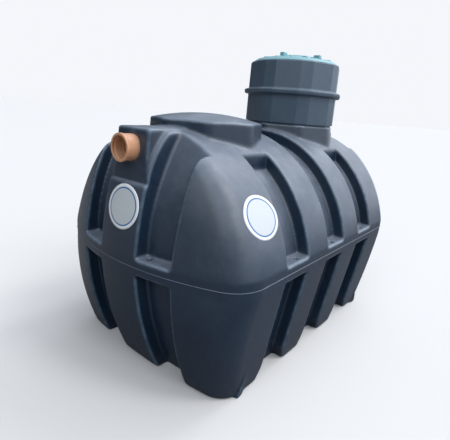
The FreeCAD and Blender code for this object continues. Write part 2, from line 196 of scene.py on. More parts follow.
def moulded(name, dark, light, scuffed, edge, roughness, dust_and_sheen, soil, specular=0.42):
    """Satin plastic between two colours, paler where scuffed, paler on convex edges as rubbing
    and painted highlight, and paler facing up as a dusty film and painted sky sheen.
    """
    finish = Finish(name)
    cloud = finish.noise(2.2, 5.0).between(0.3, 0.7)
    mottle = finish.noise(34.0, 3.0).between(0.35, 0.7)
    streak = finish.noise(3.0, 6.0, 0.7, (6.0, 6.0, 0.8)).between(0.54, 0.8)
    scratch = finish.noise(11.0, 8.0, 0.75, (1.0, 7.0, 2.2)).between(0.62, 0.74)
    colour = finish.mix(cloud * 0.7 + mottle * 0.3, (*dark, 1), (*light, 1))
    scuff = scratch * 0.22 + streak * 0.10
    colour = finish.mix(scuff, colour, (*scuffed, 1))
    normal = finish.add("ShaderNodeNewGeometry", {}, output="Normal")
    # Convex edges turn paler: partly rubbing, partly a painted highlight where edges catch the
    # light.
    rubbed_and_highlit_edge = finish.add("ShaderNodeAttribute", {"attribute_name": "edge"}, output="Fac")
    rubbed_and_highlit_edge = rubbed_and_highlit_edge.between(0.2, 1.0) * (0.35 + finish.noise(23.0, 5.0).between(0.35, 0.65) * 0.5)
    colour = finish.mix(rubbed_and_highlit_edge, colour, (*edge, 1))
    # Up-facing surfaces turn pale sky blue: partly a dusty film, partly a painted sheen of the
    # bright sky.
    facing_up = finish.part(normal, 2).between(-0.1, 1.0)
    dust_and_sheen_share = facing_up * (finish.noise(7.0, 6.0, 0.65).between(0.35, 0.8) * 0.4 + 0.6) * dust_and_sheen
    colour = finish.mix(dust_and_sheen_share, colour, DUST_AND_SHEEN)
    height = finish.part(finish.place, 2)
    low = 1.0 - height.between(0.0, 0.22)
    splash = low * finish.noise(14.0, 6.0, 0.7).between(0.42, 0.7)
    colour = finish.mix(splash * soil, colour, SOIL)
    sheen = mottle * 0.06 + cloud * 0.05 + scuff * 0.5 + dust_and_sheen_share * 0.2 + roughness
    peel = finish.noise(150.0, 2.0)
    wave = finish.noise(5.0, 2.0)
    relief = finish.add("ShaderNodeBump", {}, Strength=0.35, Distance=0.002,
                        Height=peel * 0.12 + wave * 1.6 + scratch * 0.08)
    return finish.surface(Base_Color=colour, Roughness=sheen, Normal=relief,
                          Specular_IOR_Level=specular)


# Each plastic's edge colour is partly a painted highlight, and its up-facing share partly a
# painted sky sheen.
TANK = moulded("navy_polyethylene", (0.004, 0.013, 0.031), (0.008, 0.024, 0.050),
               (0.12, 0.15, 0.20), (0.07, 0.12, 0.18), 0.29, 0.46, 0.10, 0.55)
RISER = moulded("slate_polyethylene", (0.056, 0.086, 0.122), (0.074, 0.110, 0.152),
                (0.18, 0.22, 0.27), (0.12, 0.17, 0.22), 0.36, 0.25, 0.0)
LID = moulded("teal_polyethylene", (0.17, 0.38, 0.43), (0.22, 0.45, 0.50),
              (0.40, 0.58, 0.62), (0.34, 0.52, 0.56), 0.38, 0.15, 0.0)
PIPE = moulded("orange_pipe", (0.54, 0.27, 0.145), (0.62, 0.33, 0.19),
               (0.72, 0.50, 0.38), (0.62, 0.42, 0.32), 0.36, 0.10, 0.0)
for material in (TANK, RISER, LID, PIPE):
    print(material.name, "with", len(material.node_tree.nodes), "nodes")

# %% [markdown]
# ## The hull as a field of distances
#
# The hull is a double curve with pressed channels whose edges are all softly
# rounded. Bevels on such a mesh collide, so the shape is described instead by
# a number at every point of space: its distance to the surface, negative
# inside. Two shapes then join or cut with one line of arithmetic, and the
# same line rounds the edge between them. Later the points where the number is
# zero become a mesh.
#
# Seen from above every level of the hull is a rounded rectangle with bulged
# ends, so the first cell gives the distance to that outline.

# %% Distances in plan
def outline(x, y, length, width, end_radius, corner_radius):
    """Distance to a rounded rectangle with bulged ends, given by half sizes."""
    x, y = np.abs(x), np.abs(y)
    end = length - end_radius
    corner_y = width - corner_radius
    join = np.arcsin(corner_y / (end_radius - corner_radius))
    corner_x = end + (end_radius - corner_radius) * np.cos(join)
    along, across = x - corner_x, y - corner_y
    straight = np.maximum(y - width, np.hypot(x - end, y) - end_radius)
    cornered = np.hypot(along, across) - corner_radius
    at_corner = (along > 0) & (across > along * np.tan(join))
    return np.where(at_corner, cornered, straight)


def octagon(x, y, corner_distance, rounding):
    """Distance to an octagon with a corner on the X axis and rounded edges."""
    eighth = math.pi / 8
    flat = (corner_distance + rounding / math.cos(eighth) - rounding) * math.cos(eighth)
    flat = flat - rounding
    turn = np.mod(np.arctan2(y, x), 2 * eighth) - eighth
    reach = np.hypot(x, y)
    out, along = reach * np.cos(turn), np.abs(reach * np.sin(turn))
    past = np.maximum(along - flat * math.tan(eighth), 0)
    gap = out - flat
    return np.where(past > 0, np.hypot(np.maximum(gap, 0), past), gap) - rounding


def both(first, second, rounding):
    """Inside both shapes, with the outer edge between them rounded."""
    reach = np.hypot(np.maximum(first + rounding, 0), np.maximum(second + rounding, 0))
    return np.minimum(-rounding, np.maximum(first, second)) + reach


def either(first, second, rounding):
    """Inside either shape, with the inner corner between them filled."""
    return -both(-first, -second, rounding)


print("an octagon's flat lies at", round(-float(octagon(0.0, 0.0, 0.3, 0.08)), 3))

# %% [markdown]
# ## Trough and vault
#
# Below the belt the outline shrinks towards the base. Above it the outline
# follows an ellipse: at a rise whose cosine is c, the half width is 0.70 c and
# the half length 0.806 + 0.25 c. For each place in plan a few halvings find
# the c whose outline passes there, and the height is then compared with the
# ellipse. An inset gives the deeper surface that the channels are cut to.

# %% Trough and vault
BELT_LENGTH, BELT_WIDTH = 1.050, 0.684
END_RADIUS, CORNER_RADIUS = 1.4, 0.19
BELT_BOTTOM, PARTING, BELT_TOP = 0.600, 0.641, 0.685
VAULT_CENTRE, VAULT_RISE = 0.520, 0.768
CROWN_LENGTH, CROWN_SINE = 0.806, 0.9945
BELT_SINE = (BELT_TOP - VAULT_CENTRE) / VAULT_RISE
BELT_COSINE = math.sqrt(1 - BELT_SINE ** 2)
CHANNEL_DEPTH = 0.073
STEP = 0.009


def trough(x, y, z):
    """Distance in plan to the tapered half and the belt."""
    sunk = np.clip((BELT_BOTTOM - z) / BELT_BOTTOM, 0, 1)
    length = BELT_LENGTH - 0.165 * (0.25 * sunk + 0.75 * sunk ** 2)
    width = BELT_WIDTH - 0.094 * sunk
    end_radius = 1 / ((1 - sunk) / END_RADIUS + sunk / 3.6)
    return outline(x, y, length, width, end_radius, CORNER_RADIUS - 0.06 * sunk)


def vault_outline(x, y, cosine, inset):
    """Distance to the outline of the vault at the rise with a given cosine."""
    sine = np.sqrt(np.clip(1 - cosine ** 2, 0, 1))
    share = np.clip((sine - BELT_SINE) / (CROWN_SINE - BELT_SINE), 0, 1)
    length = CROWN_LENGTH + (0.244 / BELT_COSINE - inset) * cosine
    width = (BELT_WIDTH / BELT_COSINE - inset) * cosine
    corner = (CORNER_RADIUS - inset) * cosine / BELT_COSINE
    return outline(x, y, length, width, END_RADIUS - 0.6 * share - inset, corner)


def vault(x, y, z, inset):
    """Distance to the vault, from the cosine of its rise at each place in plan."""
    low = np.full((len(x), len(y)), 0.0005)
    high = np.full((len(x), len(y)), 2.0)
    for _ in range(22):
        middle = (low + high) / 2
        outside = vault_outline(x[:, None], y[None, :], middle, inset) > 0
        low, high = np.where(outside, middle, low), np.where(outside, high, middle)
    cosine = (low + high) / 2
    steepness = np.hypot(*np.gradient(cosine, STEP))[:, :, None]
    rise = VAULT_RISE - inset
    lift = (z[None, None, :] - VAULT_CENTRE) / rise
    reach = np.hypot(cosine[:, :, None], lift)
    slope = np.hypot(cosine[:, :, None] * steepness, lift / rise) / reach
    return (reach - 1) / slope


def ticks(low, high):
    """Places of the grid along one axis."""
    return np.arange(low, high + STEP, STEP)


xs, ys, zs = ticks(-1.085, 1.085), ticks(-0.715, 0.715), ticks(-0.035, 1.405)
ORIGIN = np.array([xs[0], ys[0], zs[0]])
X, Y, Z = np.meshgrid(xs, ys, zs, indexing="ij", sparse=True)
across, along = np.abs(Y), np.abs(X)
low_part = trough(X, Y, Z)
hull = np.where(Z < BELT_TOP, low_part, vault(xs, ys, zs, 0.0))
bed = np.where(Z < BELT_TOP, low_part + CHANNEL_DEPTH, vault(xs, ys, zs, CHANNEL_DEPTH))
hull = both(hull, -Z + 0 * hull, 0.022)
print("points in the field", hull.size)

# %% [markdown]
# ## Channels
#
# Every channel is a straight slab. It cuts the hull only down to the bed, the
# surface 73 mm further in. The side channels over the crown stop just short
# of the turrets. The bed of the end channels leans inwards faster than the
# vault and comes out at the crown, so that these channels fade away. Near the
# ground the side channels flare, which chamfers the bays between them.

# %% Channels
SIDE_HALF = 0.1065
SIDE_PLACES = (-0.447, 0.0, 0.447)
EDGE, CORNER = 0.011, 0.010


def all_of(*shapes, rounding=CORNER):
    """Inside every one of several shapes."""
    joined = shapes[0]
    for shape in shapes[1:]:
        joined = both(joined, shape, rounding)
    return joined


upper = BELT_TOP - Z
lower = Z - BELT_BOTTOM
flare = 0.036 * np.clip((0.092 - Z) / 0.092, 0, 1)
end_slab = np.abs(across - 0.241) - 0.100
slabs = [all_of(end_slab, lower, 0.55 - along)]
for place in SIDE_PLACES:
    sideways = np.abs(X - place) - SIDE_HALF
    over = all_of(sideways, upper)
    slabs.append(all_of(over, 0.352 - across) if place else over)
    slabs.append(all_of(sideways - flare, lower))
slab = slabs[0]
for other in slabs[1:]:
    slab = np.minimum(slab, other)
recess = both(slab, -bed, CORNER)
body = both(hull, -recess, EDGE)

climb = np.maximum(Z - BELT_TOP, 0)
end_bed = along + (across ** 2 - 0.02) / 2.4 + 0.567 * climb ** 2 - 0.967
end_bed = end_bed / np.sqrt(1 + (1.134 * climb) ** 2)
recess = both(all_of(end_slab, upper, 0.55 - along), -end_bed, CORNER)
body = both(body, -recess, EDGE)
print("deepest point of the field", round(float(body.min()), 3))

# %% [markdown]
# ## Turrets, pipe boxes and feet
#
# Two octagonal turrets rise from the crown: a blank one with a shallow dome
# and the neck that carries the riser, which flares downwards. A box with a
# leaning flat face grows out of each end around the pipe, above a ledge where
# that face cuts into the end. A small gusset stands at each corner of the
# base, and a shallow pocket in each sill lets rain water run off.

# %% Turrets, pipe boxes and feet
TURRET_X, TURRET_TOP = 0.447, 1.330
INLET_HEIGHT, OUTLET_HEIGHT = 1.189, 1.139

reach = np.hypot(X + TURRET_X, Y)
dome = TURRET_TOP + 0.038 * np.clip(1 - (reach / 0.30) ** 2, 0, 1)
blank = octagon(X + TURRET_X, Y, 0.312 + 0.06 * np.clip(TURRET_TOP - Z, 0, 0.2), 0.08)
blank = all_of(blank, Z - dome, 1.13 - Z, rounding=0.009)
neck = octagon(X - TURRET_X, Y, 0.316 + 0.15 * np.clip(TURRET_TOP - Z, 0, 0.2), 0.09)
neck = all_of(neck, Z - TURRET_TOP, 1.13 - Z, rounding=0.006)
body = either(body, np.minimum(blank, neck), 0.010)

rise = (Z - 1.0) / 0.284
box_side = across - (0.129 - 0.013 * rise)
box_face = along - (0.977 - 0.023 * rise)
ledge = all_of(np.abs(Y) - 0.150, -box_face, 1.03 - Z, Z - 1.2, rounding=0.006)
body = both(body, -ledge, 0.009)
box = all_of(box_side, box_face, Z - 1.284, TURRET_X - along, 0.98 - Z, rounding=0.012)
body = either(body, box, 0.010)

pipe_height = np.where(X < 0, INLET_HEIGHT, OUTLET_HEIGHT)
bore = np.maximum(np.hypot(Y, Z - pipe_height) - 0.0632, 0.86 - along)
body = np.maximum(body, -bore)

pocket = np.hypot(X + 0.408, across - 0.640) - 0.014
for centre in ((0.005, 0.645), (0.470, 0.640)):
    pocket = np.minimum(pocket, np.hypot(X - centre[0], across - centre[1]) - 0.014)
pocket = np.minimum(pocket, np.hypot(along - 0.985, across - 0.180) - 0.014)
body = both(body, -np.maximum(pocket, np.abs(Z - BELT_TOP) - 0.022), 0.003)


def facet(first, second, third, inner):
    """Distance to the plane through three points, negative at the inner one."""
    normal = np.cross(np.subtract(second, first), np.subtract(third, first))
    normal = normal / np.linalg.norm(normal)
    if normal @ np.subtract(inner, first) > 0:
        normal = -normal
    return normal[0] * along + normal[1] * across + normal[2] * Z - normal @ np.array(first)


heel, tip = (0.764, 0.555, 0), (0.761, 0.606, 0)
toe, tail = (0.704, 0.596, 0), (0.645, 0.560, 0)
apex, core = (0.725, 0.616, 0.135), (0.72, 0.57, 0.03)
foot = all_of(facet(heel, tip, apex, core), facet(tip, toe, apex, core),
              facet(toe, tail, apex, core), 0.52 - across, -Z, Z - 0.165, rounding=0.004)
body = either(body, foot, 0.004)
print("highest and lowest value", round(float(body.max()), 3), round(float(body.min()), 3))

# %% [markdown]
# ## From field to mesh
#
# A surface net puts one vertex in each small cube that the surface crosses,
# at the mean of the crossings on its edges, and one quad round each edge of
# the grid that is crossed. That gives evenly sized quads. Each vertex then
# slides along the slope of the field until its number is zero. At the end the
# net is thinned, and points that came to lie on each other are welded.

# %% Surface net
def sample(grid, points, origin):
    """Values of a grid at any points, blended between the eight nearest."""
    spot = (points - origin) / STEP
    base = np.clip(np.floor(spot).astype(int), 0, np.array(grid.shape) - 2)
    part = spot - base
    total = np.zeros(len(points))
    for corner in np.ndindex(2, 2, 2):
        weight = np.prod(np.where(corner, part, 1 - part), axis=1)
        total += weight * grid[tuple((base + corner).T)]
    return total


def surface_net(grid, origin):
    """Vertices and outward quads of the surface where a grid is zero."""
    inside = grid < 0
    cells = np.array(grid.shape) - 1
    owners, spots, quads = [], [], []
    for axis in range(3):
        near = [slice(None)] * 3
        far = [slice(None)] * 3
        near[axis], far[axis] = slice(None, -1), slice(1, None)
        crossed = inside[tuple(near)] != inside[tuple(far)]
        start = np.argwhere(crossed)
        before, after = grid[tuple(near)][crossed], grid[tuple(far)][crossed]
        place = start.astype(float)
        place[:, axis] += before / (before - after)
        one, two = [number for number in range(3) if number != axis]
        ring = []
        for shift_one, shift_two in ((-1, -1), (0, -1), (0, 0), (-1, 0)):
            cell = start.copy()
            cell[:, one] += shift_one
            cell[:, two] += shift_two
            ring.append(np.ravel_multi_index(cell.T, cells, mode="clip"))
        ring = np.stack(ring, axis=1)
        outward = inside[tuple(near)][crossed] == (axis != 1)
        quads.append(np.where(outward[:, None], ring, ring[:, ::-1]))
        owners.append(ring.ravel())
        spots.append(np.repeat(place, 4, axis=0))
    names, index = np.unique(np.concatenate(owners), return_inverse=True)
    spots = np.concatenate(spots)
    count = np.bincount(index)
    points = np.stack([np.bincount(index, spots[:, axis]) / count for axis in range(3)], 1)
    points = points * STEP + origin
    slopes = np.gradient(grid, STEP)
    for _ in range(2):
        value = sample(grid, points, origin)
        slope = np.stack([sample(part, points, origin) for part in slopes], axis=1)
        length = np.maximum((slope ** 2).sum(axis=1), 0.25)
        move = -slope * (value / length)[:, None]
        points += np.clip(move, -STEP / 2, STEP / 2)
    return points, np.searchsorted(names, np.concatenate(quads))


def link_mesh(name, points, faces, material, edge):
    """A smooth mesh object from arrays of points, quads and an edge share for rubbing and
    painted highlight.
    """
    mesh = bpy.data.meshes.new(name)
    mesh.vertices.add(len(points))
    mesh.vertices.foreach_set("co", np.asarray(points, np.float32).ravel())
    size = faces.shape[1]
    mesh.loops.add(faces.size)
    mesh.loops.foreach_set("vertex_index", faces.astype(np.int32).ravel())
    mesh.polygons.add(len(faces))
    mesh.polygons.foreach_set("loop_start", np.arange(0, faces.size, size, dtype=np.int32))
    mesh.polygons.foreach_set("use_smooth", np.ones(len(faces), bool))
    mesh.update(calc_edges=True)
    mesh.validate()
    # The edge attribute carries convex bend, for rubbing and a painted highlight.
    edge_rub_and_highlight = mesh.attributes.new("edge", "FLOAT", "POINT")
    edge_rub_and_highlight.data.foreach_set("value", edge.astype(np.float32))
    item = bpy.data.objects.new(name, mesh)
    scene.collection.objects.link(item)
    mesh.materials.append(material)
    return item


def applied(item, modifier):
    """Put the result of its one modifier in place of the mesh of an object."""
    depsgraph = bpy.context.evaluated_depsgraph_get()
    item.data = bpy.data.meshes.new_from_object(item.evaluated_get(depsgraph))
    item.modifiers.remove(modifier)
    return item.data


def thinned(item, triangles):
    """Thin and weld the mesh of an object, and return its triangle count."""
    thin = item.modifiers.new("thin", "DECIMATE")
    thin.ratio = min(1.0, triangles / (2 * len(item.data.polygons)))
    mesh = applied(item, thin)
    mesh.name = item.name
    shape = bmesh.new()
    shape.from_mesh(mesh)
    bmesh.ops.remove_doubles(shape, verts=shape.verts, dist=0.0005)
    bmesh.ops.dissolve_degenerate(shape, edges=shape.edges, dist=0.0001)
    shape.to_mesh(mesh)
    shape.free()
    return sum(len(face.vertices) - 2 for face in mesh.polygons)


# %% [markdown]
# ## The two halves of the hull
#
# The mould parts at the belt, so the hull is meshed as two closed halves that
# meet there. They stand for the faceted shells of the CAD model, which stay
# behind as collision shapes, hidden.

# %% Hull halves
TRIANGLES_PER_HALF = 190000


def snap_to_edge(points):
    """Slide the points near the parting edge onto it, so that it is crisp."""
    level = body[:, :, [np.argmin(np.abs(zs - PARTING))]].repeat(2, axis=2)
    base = ORIGIN * (1, 1, 0)
    near = np.abs(points[:, 2] - PARTING) < 0.7 * STEP
    near[near] = np.abs(sample(level, points[near] * (1, 1, 0), base)) < 0.9 * STEP
    spots = points[near] * (1, 1, 0)
    slopes = [np.gradient(level, STEP, axis=axis) for axis in (0, 1)]
    for _ in range(2):
        value = sample(level, spots, base)
        slope = [sample(part, spots, base) for part in slopes]
        steep = np.maximum(slope[0] ** 2 + slope[1] ** 2, 0.25)
        spots[:, 0] -= slope[0] * value / steep
        spots[:, 1] -= slope[1] * value / steep
    points[near] = spots + (0, 0, PARTING)


def half_shell(name, cut, keep):
    """One half of the hull, closed by a flat face at the parting line."""
    part = body[:, :, keep]
    half = both(part, cut[:, :, keep] + 0 * part, 0.002)
    origin = np.array([xs[0], ys[0], zs[keep][0]])
    points, quads = surface_net(half, origin)
    snap_to_edge(points)
    bend = sample(curvature[:, :, keep], points, origin)
    # Convex bend becomes the pale edge share: rubbing and painted highlight.
    item = link_mesh(name, points, quads, TANK, np.clip((bend - 12) / 60, 0, 1))
    triangles = thinned(item, TRIANGLES_PER_HALF)
    item.data.set_sharp_from_angle(angle=math.radians(62))
    print(name, 2 * len(quads), "triangles thinned to", triangles)
    return item


curvature = sum(np.gradient(np.gradient(body, STEP, axis=axis), STEP, axis=axis)
                for axis in range(3))
margin = 4 * STEP
lower_shell = half_shell("lower_shell", Z - PARTING, zs < PARTING + margin)
upper_shell = half_shell("upper_shell", PARTING - Z, zs > PARTING - margin)

AREAS = ["channel_1", "bay_1", "channel_2", "bay_2", "channel_3"]
AREAS += ["%s_%s" % (end, side) for end in ("inlet", "outlet")
          for side in ("panel", "corner_left", "corner_right")]
FEET = ["foot_%s_%s" % (end, side)
        for end in ("inlet", "outlet") for side in ("left", "right")]
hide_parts(*["lower_" + area for area in AREAS], *FEET)
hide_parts(*["upper_" + area for area in AREAS], "inspection_boss",
            "access_neck", "inlet_box", "outlet_box")

# %% [markdown]
# ## Parting rib
#
# Where the two halves of the mould met, a thin rib runs right round the belt.
# Something that follows a path is a job for Geometry Nodes: the belt's
# outline is a curve, and a small half-round profile is swept along it.

# %% Geometry Nodes helpers
def tree_with(name, inputs):
    """An empty node tree with a geometry input and named inputs."""
    tree = bpy.data.node_groups.new(name, "GeometryNodeTree")
    tree.interface.new_socket("Geometry", in_out="INPUT", socket_type="NodeSocketGeometry")
    for label, kind, content in inputs:
        socket = tree.interface.new_socket(label, in_out="INPUT", socket_type=kind)
        if content is not None:
            socket.default_value = content
    tree.interface.new_socket("Geometry", in_out="OUTPUT", socket_type="NodeSocketGeometry")
    return tree, tree.nodes.new("NodeGroupInput"), tree.nodes.new("NodeGroupOutput")


def node_in(tree, kind, settings=None, **links):
    """A node whose sockets take numbers or the outputs of other nodes."""
    node = tree.nodes.new(kind)
    for name, setting in (settings or {}).items():
        setattr(node, name, setting)
    for name, content in links.items():
        socket = node.inputs[name.replace("_", " ")]
        if isinstance(content, bpy.types.NodeSocket):
            tree.links.new(content, socket)
        else:
            socket.default_value = content
    return node


def close_tree(tree, output, geometry, material):
    """End a tree with Realize Instances and Set Material."""
    real = node_in(tree, "GeometryNodeRealizeInstances", Geometry=geometry)
    coloured = node_in(tree, "GeometryNodeSetMaterial", Geometry=real.outputs[0],
                       Material=material)
    tree.links.new(coloured.outputs[0], output.inputs[0])


def grown(item, tree, name, **values):
    """Plain mesh object that a tree makes from an object and named values."""
    modifier = item.modifiers.new("grow", "NODES")
    modifier.node_group = tree
    for socket in tree.interface.items_tree:
        if socket.in_out == "INPUT" and socket.name in values:
            modifier[socket.identifier] = values[socket.name]
    depsgraph = bpy.context.evaluated_depsgraph_get()
    mesh = bpy.data.meshes.new_from_object(item.evaluated_get(depsgraph))
    bpy.data.objects.remove(item)
    made = bpy.data.objects.new(name, mesh)
    scene.collection.objects.link(made)
    shape = bmesh.new()
    shape.from_mesh(mesh)
    bmesh.ops.remove_doubles(shape, verts=shape.verts, dist=0.00005)
    bmesh.ops.recalc_face_normals(shape, faces=shape.faces)
    shape.to_mesh(mesh)
    shape.free()
    mesh.shade_smooth()
    mesh.set_sharp_from_angle(angle=math.radians(35))
    print(name, len(mesh.vertices), "vertices", [round(size, 3) for size in made.dimensions])
    return made


def path_object(name, points):
    """A closed curve object of straight runs through some points."""
    path = bpy.data.curves.new(name, "CURVE")
    path.dimensions = "3D"
    spline = path.splines.new("POLY")
    spline.points.add(len(points) - 1)
    for spot, point in zip(spline.points, points):
        spot.co = (*point, 1)
    spline.use_cyclic_u = True
    item = bpy.data.objects.new(name, path)
    scene.collection.objects.link(item)
    return item


# %% Parting rib
def belt_points(count, grow):
    """Points round the belt, found by walking out from the middle."""
    turns = np.linspace(0, 2 * math.pi, count, endpoint=False)
    low, high = np.full(count, 0.3), np.full(count, 1.4)
    for _ in range(30):
        middle = (low + high) / 2
        inside = outline(middle * np.cos(turns), middle * np.sin(turns),
                         BELT_LENGTH + grow, BELT_WIDTH + grow,
                         END_RADIUS + grow, CORNER_RADIUS + grow) < 0
        low, high = np.where(inside, middle, low), np.where(inside, high, middle)
    return [(reach * math.cos(turn), reach * math.sin(turn), PARTING)
            for reach, turn in zip(low, turns)]


tree, entry, output = tree_with("sweep", [("Radius", "NodeSocketFloat", 0.003),
                                          ("Material", "NodeSocketMaterial", None)])
profile = node_in(tree, "GeometryNodeCurvePrimitiveCircle", {"mode": "RADIUS"}, Resolution=8,
                  Radius=entry.outputs["Radius"])
swept = node_in(tree, "GeometryNodeCurveToMesh", Curve=entry.outputs["Geometry"],
                Profile_Curve=profile.outputs["Curve"])
close_tree(tree, output, swept.outputs["Mesh"], entry.outputs["Material"])
rib = grown(path_object("belt_path", belt_points(360, -0.0005)), tree, "parting_rib",
            Radius=0.0028, Material=TANK)

# %% [markdown]
# ## Riser
#
# The riser is an eight-sided shaft whose corners are cut by narrow flats, with
# a flange halfway up. One cross-section of its wall, swept along that plan,
# gives the whole of it. A first Fillet Curve with a single step cuts the
# corners flat, and a second one softens the sixteen edges.

# %% Riser
RISER_TOP = 1.732
tree, entry, output = tree_with("ring of eight", [("Facet Distance", "NodeSocketFloat", 0.3),
                                                  ("Chamfer", "NodeSocketFloat", 0.1),
                                                  ("Softness", "NodeSocketFloat", 0.01),
                                                  ("Material", "NodeSocketMaterial", None)])
corner = node_in(tree, "ShaderNodeMath", {"operation": "DIVIDE"})
tree.links.new(entry.outputs["Facet Distance"], corner.inputs[0])
corner.inputs[1].default_value = math.cos(math.pi / 8)
plan = node_in(tree, "GeometryNodeCurvePrimitiveCircle", {"mode": "RADIUS"}, Resolution=8,
               Radius=corner.outputs[0])
chamfered = node_in(tree, "GeometryNodeFilletCurve", {"mode": "POLY"},
                    Curve=plan.outputs["Curve"], Count=1, Radius=entry.outputs["Chamfer"])
rounded = node_in(tree, "GeometryNodeFilletCurve", {"mode": "POLY"},
                  Curve=chamfered.outputs["Curve"], Count=4, Radius=entry.outputs["Softness"])
level = node_in(tree, "GeometryNodeSetCurveNormal", {"mode": "Z_UP"},
                Curve=rounded.outputs["Curve"])
swept = node_in(tree, "GeometryNodeCurveToMesh", Curve=level.outputs["Curve"],
                Profile_Curve=entry.outputs["Geometry"])
moved = node_in(tree, "GeometryNodeTransform", Geometry=swept.outputs["Mesh"],
                Translation=(TURRET_X, 0, 0))
close_tree(tree, output, moved.outputs["Geometry"], entry.outputs["Material"])


def soft_section(corners, softness):
    """Section whose corners are cut by short arcs, as (out, up) pairs."""
    points = []
    count = len(corners)
    for number, (corner, soft) in enumerate(zip(corners, softness)):
        here = Vector(corner)
        before = Vector(corners[number - 1]) - here
        after = Vector(corners[(number + 1) % count]) - here
        if not soft:
            points.append(tuple(here))
            continue
        start, stop = here + before.normalized() * soft, here + after.normalized() * soft
        for share in (0, 0.25, 0.5, 0.75, 1):
            first, second = start.lerp(here, share), here.lerp(stop, share)
            points.append(tuple(first.lerp(second, share)))
    return points


section = [(-0.010, TURRET_TOP), (-0.010, 1.337), (0.003, 1.337), (0.001, 1.519),
           (0.027, 1.523), (0.031, 1.550), (0.000, 1.558), (-0.003, RISER_TOP),
           (-0.030, RISER_TOP), (-0.030, 1.700), (-0.020, 1.690), (-0.020, TURRET_TOP)]
softness = [0, 0, 0.004, 0.005, 0.009, 0.009, 0.007, 0.010, 0.003, 0, 0, 0]
profile_points = [(out, -up, 0) for out, up in soft_section(section, softness)]
riser = grown(path_object("riser_section", profile_points), tree, "riser_shaft",
              **{"Facet Distance": 0.3052, "Chamfer": 0.1078, "Softness": 0.010,
                 "Material": RISER})
low, high = [Vector(corner) for corner in (riser.bound_box[0], riser.bound_box[6])]
print("riser from", [round(number, 3) for number in low], "to",
      [round(number, 3) for number in high])
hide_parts("riser_lower", "riser_flange", "riser_upper")

# %% [markdown]
# ## Round pieces
#
# The pipe sockets and the lid are round. A list of (radius, height) pairs is
# turned about an axis, and where the list starts or ends on the axis, the
# mesh closes in one point there.

# %% Turned pieces
def link_shape(name, shape, material=None):
    """A mesh object from a BMesh, which is used up."""
    mesh = bpy.data.meshes.new(name)
    shape.to_mesh(mesh)
    shape.free()
    if material:
        mesh.materials.append(material)
    item = bpy.data.objects.new(name, mesh)
    scene.collection.objects.link(item)
    return item


def turned(name, section, origin, axis, material, steps=96):
    """Closed surface of revolution from a closed or pole-to-pole section."""
    shape = bmesh.new()
    rings = []
    for radius, height in section:
        count = steps if radius > 1e-6 else 1
        angles = [2 * math.pi * number / steps for number in range(count)]
        rings.append([shape.verts.new((radius * math.cos(angle), radius * math.sin(angle),
                                       height)) for angle in angles])
    pairs = list(zip(rings, rings[1:]))
    if section[0][0] > 1e-6:
        pairs.append((rings[-1], rings[0]))
    for low, high in pairs:
        for number in range(steps):
            after = (number + 1) % steps
            corners = [low[number % len(low)], low[after % len(low)],
                       high[after % len(high)], high[number % len(high)]]
            corners = list(dict.fromkeys(corners))
            if len(corners) > 2:
                shape.faces.new(corners)
    bmesh.ops.recalc_face_normals(shape, faces=shape.faces)
    open_edges = sum(len(edge.link_faces) != 2 for edge in shape.edges)
    item = link_shape(name, shape, material)
    turn = Vector((0, 0, 1)).rotation_difference(Vector(axis)).to_matrix().to_4x4()
    item.data.transform(Matrix.Translation(origin) @ turn)
    item.data.shade_smooth()
    item.data.set_sharp_from_angle(angle=math.radians(35))
    print(name, "with", open_edges, "open edges")
    return item


def socket(name, side, height):
    """Pipe socket with a rounded bead and a seal groove, facing outwards."""
    corners = [(0.0552, 0.0), (0.0665, 0.0), (0.0668, -0.013), (0.0637, -0.017),
               (0.0634, -0.110), (0.0520, -0.110), (0.0520, -0.060), (0.0552, -0.060),
               (0.0552, -0.018), (0.0590, -0.016), (0.0590, -0.008), (0.0552, -0.006)]
    softness = [0.0015, 0.003, 0.003, 0.002, 0, 0, 0.002, 0.002, 0.001, 0.002, 0.002, 0.001]
    return turned(name, soft_section(corners, softness), (side * 1.030, 0, height),
                  (side, 0, 0), PIPE)


inlet = socket("inlet_pipe_socket", -1, INLET_HEIGHT)
outlet = socket("outlet_pipe_socket", 1, OUTLET_HEIGHT)
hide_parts("inlet_socket")
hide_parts("outlet_socket")

# %% [markdown]
# ## Lid
#
# The lid lies on the riser's rim: a shallow dome with a chamfered edge and a
# flat hub. Radial ribs stiffen it, and grips stand at the edge of the hub.
# Both are one small rounded bar that Geometry Nodes puts on the points of a
# circle and turns outwards.

# %% Lid
lid_corners = [(0.0, 1.730), (0.298, 1.730), (0.300, 1.734), (0.271, 1.754), (0.160, 1.771),
               (0.150, 1.781), (0.0, 1.784)]
lid_softness = [0, 0.002, 0.003, 0.010, 0.004, 0.004, 0]
lid = turned("lid_dome", soft_section(lid_corners, lid_softness), (TURRET_X, 0, 0),
             (0, 0, 1), LID, 128)
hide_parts("riser_lid", "lid_hub")

tree, entry, output = tree_with("ribs round a hub", [("Count", "NodeSocketInt", 12),
                                                     ("Distance", "NodeSocketFloat", 0.16),
                                                     ("Turn", "NodeSocketFloat", 0.0),
                                                     ("Tilt", "NodeSocketFloat", 0.0),
                                                     ("Height", "NodeSocketFloat", 0.0),
                                                     ("Material", "NodeSocketMaterial", None)])
index = node_in(tree, "GeometryNodeInputIndex")
share = node_in(tree, "ShaderNodeMath", {"operation": "DIVIDE"})
tree.links.new(index.outputs[0], share.inputs[0])
tree.links.new(entry.outputs["Count"], share.inputs[1])
angle = node_in(tree, "ShaderNodeMath", {"operation": "MULTIPLY_ADD"})
tree.links.new(share.outputs[0], angle.inputs[0])
angle.inputs[1].default_value = 2 * math.pi
tree.links.new(entry.outputs["Turn"], angle.inputs[2])
spin = node_in(tree, "ShaderNodeCombineXYZ", Z=angle.outputs[0])
start = node_in(tree, "ShaderNodeCombineXYZ", X=entry.outputs["Distance"])
